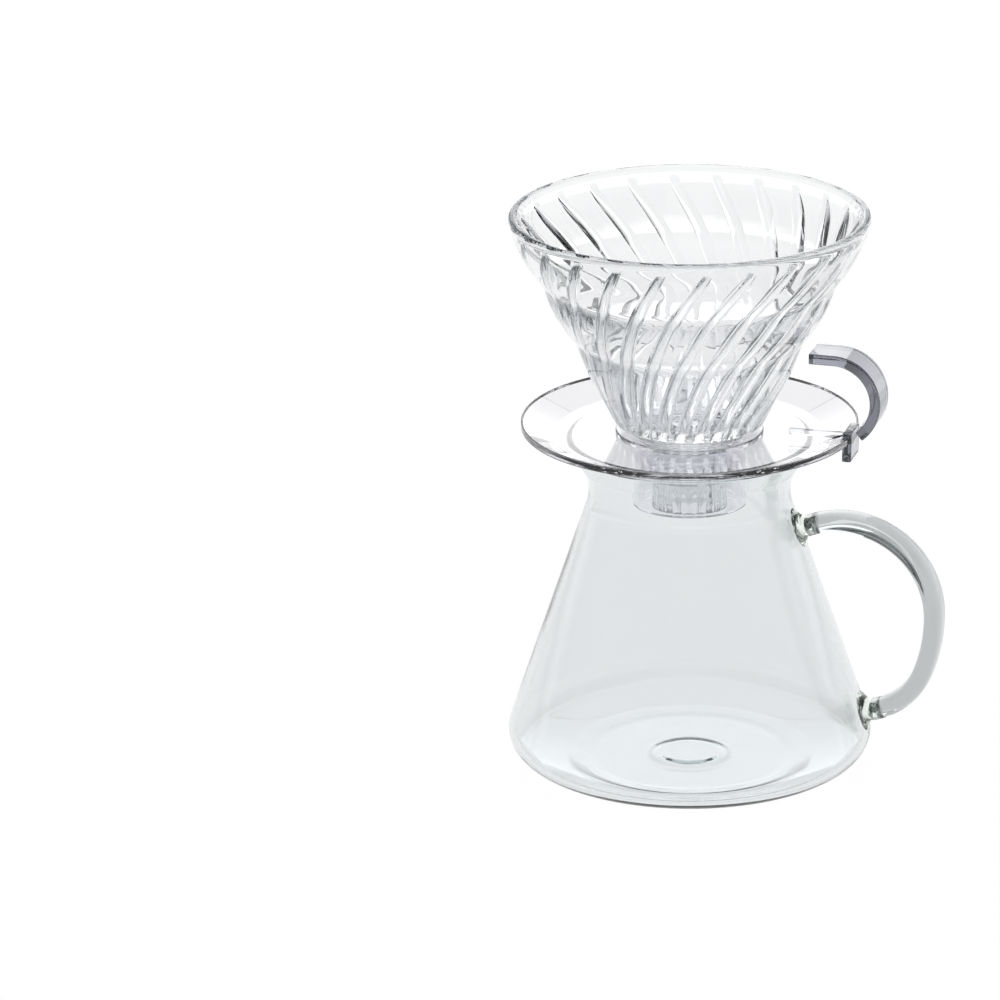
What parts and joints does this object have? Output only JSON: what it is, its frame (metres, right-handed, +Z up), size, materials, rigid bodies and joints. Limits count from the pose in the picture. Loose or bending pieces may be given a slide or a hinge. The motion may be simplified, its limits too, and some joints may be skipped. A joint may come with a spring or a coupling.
{
  "type": "glass pour over dripper with server",
  "caption": "Clear glass cone dripper with spiral ribs in a clear saucer base with a hook handle, standing on a conical glass server with a looped glass handle.",
  "frame": {"origin": "centre of the server's foot, on the surface it stands on", "axes": "+Z up along the server's and the cone's shared axis, +X towards both handles"},
  "size_m": [0.1448, 0.1194, 0.1883],
  "materials": {
    "clear_glass": "clear polished borosilicate glass",
    "weld_glass": "fused glass with a slight green tint",
    "clear_resin": "clear moulded resin",
    "silicone": "milky translucent silicone"
  },
  "bodies": {
    "server": {"server_body": "clear_glass", "server_handle": "clear_glass", "upper_handle_weld": "weld_glass", "lower_handle_weld": "weld_glass"},
    "base": {"saucer_base": "clear_resin", "dripper_handle": "clear_resin", "cone_seal": "silicone"},
    "cone": {"dripper_cone": "clear_glass"},
    "lock": {"lock_ring": "clear_resin"}
  },
  "joints": [
    {"name": "dripper_lift", "type": "slide", "parent": "server", "child": "base", "axis": [0, 0, 1], "range_m": [0, 0.06]},
    {"name": "cone_lift", "type": "slide", "parent": "base", "child": "cone", "axis": [0, 0, 1], "range_m": [0, 0.04]},
    {"name": "lock_ring_turn", "type": "hinge", "parent": "base", "child": "lock", "pos_m": [0, 0, 0.1045], "axis": [0, 0, 1], "range_deg": [0, 540]}
  ]
}
